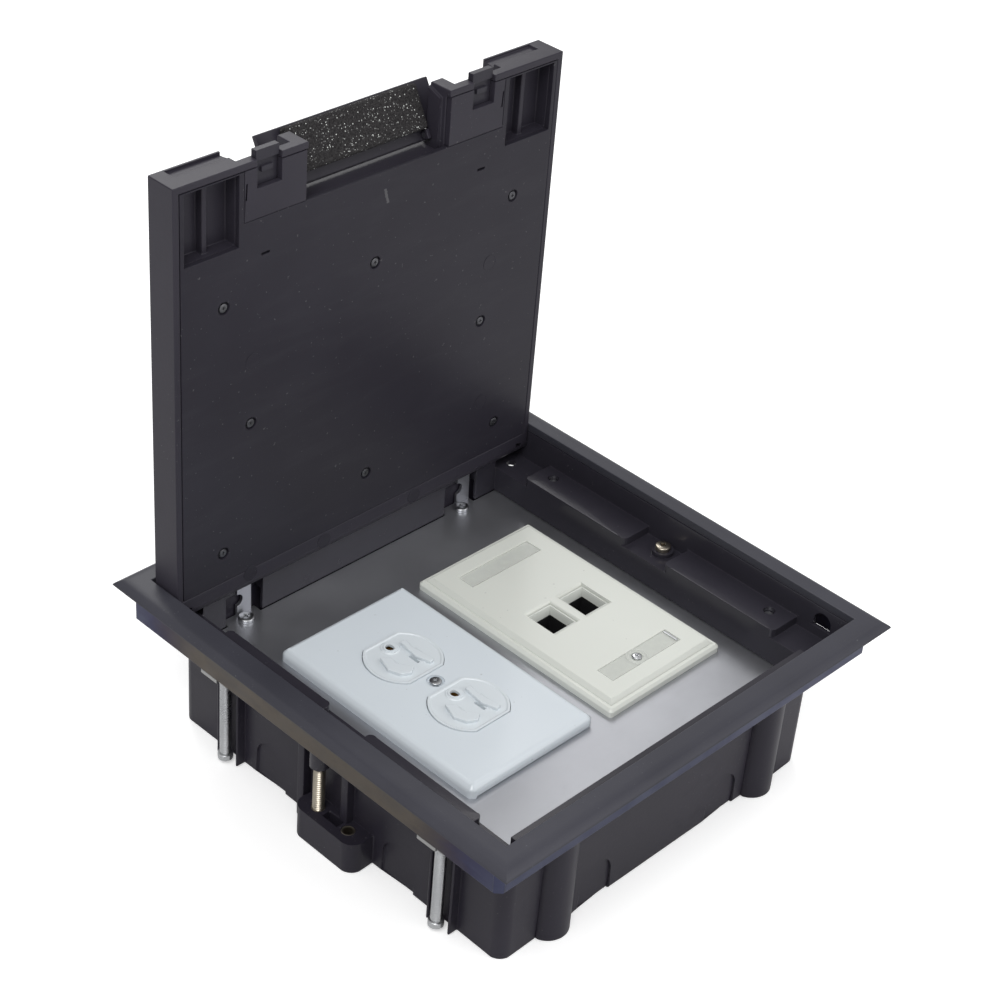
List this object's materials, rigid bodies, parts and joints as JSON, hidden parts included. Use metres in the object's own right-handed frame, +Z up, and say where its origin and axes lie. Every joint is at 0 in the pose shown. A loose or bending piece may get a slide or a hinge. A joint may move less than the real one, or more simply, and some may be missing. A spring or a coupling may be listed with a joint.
{
  "type": "floor socket box",
  "caption": "Floor socket box with a mitred trim, levelling frame, hinged lid with latches and cable flap, and a metal plate of outlets.",
  "frame": {"origin": "centre of the tray's base, on the floor it stands on", "axes": "+Z up, +Y towards the lid's hinge, +X along the hinge"},
  "size_m": [0.2284, 0.2284, 0.263],
  "materials": {
    "dark_plastic": "satin moulded plastic",
    "tray_plastic": "satin moulded plastic",
    "lid_plastic": "satin moulded plastic",
    "latch_plastic": "satin moulded plastic",
    "zinc_steel": "zinc plated",
    "plate_steel": "galvanised, satin",
    "claw_steel": "zinc plated",
    "spring_steel": "bright wire",
    "brass": "plain brass",
    "white_plastic": "smooth gloss",
    "receptacle_plastic": "smooth gloss",
    "ivory_plastic": "smooth gloss",
    "jack_plastic": "moulded plastic",
    "clear_plastic": "clear plastic",
    "foam": "open-cell foam"
  },
  "bodies": {
    "tray_body": {"tray_floor": "tray_plastic", "tray_front": "tray_plastic", "tray_back": "tray_plastic", "tray_left": "tray_plastic", "tray_right": "tray_plastic", "brass_inserts": "brass", "device_plate": "plate_steel", "plate_screws": "zinc_steel", "duplex_plate": "white_plastic", "receptacle_body": "receptacle_plastic", "receptacle_strap": "plate_steel", "ground_contacts": "brass", "duplex_screw": "zinc_steel", "data_plate": "ivory_plastic", "keystone_jack_left": "jack_plastic", "keystone_jack_right": "jack_plastic", "label_covers": "clear_plastic", "data_screws": "zinc_steel"},
    "frame": {"frame_moulding": "dark_plastic", "trim_frame": "dark_plastic", "support_flange": "zinc_steel", "level_screws": "zinc_steel", "clamp_screws": "zinc_steel", "hinge_pin_left": "brass", "hinge_pin_right": "brass"},
    "lid": {"lid_shell": "lid_plastic", "lid_liner": "lid_plastic", "latch_covers": "lid_plastic", "flap_pins": "zinc_steel", "latch_spring_left": "spring_steel", "latch_spring_right": "spring_steel"},
    "latch_left": {"latch_left": "latch_plastic"},
    "latch_right": {"latch_right": "latch_plastic"},
    "flap": {"cable_flap": "lid_plastic", "flap_foam": "foam"},
    "claw_front_left": {"clamp_claw_front_left": "claw_steel"},
    "claw_front_right": {"clamp_claw_front_right": "claw_steel"},
    "claw_back_left": {"clamp_claw_back_left": "claw_steel"},
    "claw_back_right": {"clamp_claw_back_right": "claw_steel"}
  },
  "joints": [
    {"name": "frame_level", "type": "slide", "parent": "tray_body", "child": "frame", "axis": [0, 0, 1], "range_m": [0, 0.008]},
    {"name": "lid_hinge", "type": "hinge", "parent": "frame", "child": "lid", "pos_m": [0, 0.092, 0.0656], "axis": [1, 0, 0], "range_deg": [0, 90]},
    {"name": "latch_left_slide", "type": "slide", "parent": "lid", "child": "latch_left", "axis": [0, 0, -1], "range_m": [0, 0.0032], "stiffness_N_per_m": 150, "springref_m": -0.002, "deforming": ["latch_spring_left"]},
    {"name": "latch_right_slide", "type": "slide", "parent": "lid", "child": "latch_right", "axis": [0, 0, -1], "range_m": [0, 0.0032], "stiffness_N_per_m": 150, "springref_m": -0.002, "deforming": ["latch_spring_right"]},
    {"name": "flap_hinge", "type": "hinge", "parent": "lid", "child": "flap", "pos_m": [0, 0.0964, 0.238], "axis": [1, 0, 0], "range_deg": [-40, 28.8]},
    {"name": "claw_front_left_slide", "type": "slide", "parent": "frame", "child": "claw_front_left", "axis": [0, 0, -1], "range_m": [0, 0.036]},
    {"name": "claw_front_right_slide", "type": "slide", "parent": "frame", "child": "claw_front_right", "axis": [0, 0, -1], "range_m": [0, 0.036]},
    {"name": "claw_back_left_slide", "type": "slide", "parent": "frame", "child": "claw_back_left", "axis": [0, 0, -1], "range_m": [0, 0.036]},
    {"name": "claw_back_right_slide", "type": "slide", "parent": "frame", "child": "claw_back_right", "axis": [0, 0, -1], "range_m": [0, 0.036]}
  ]
}
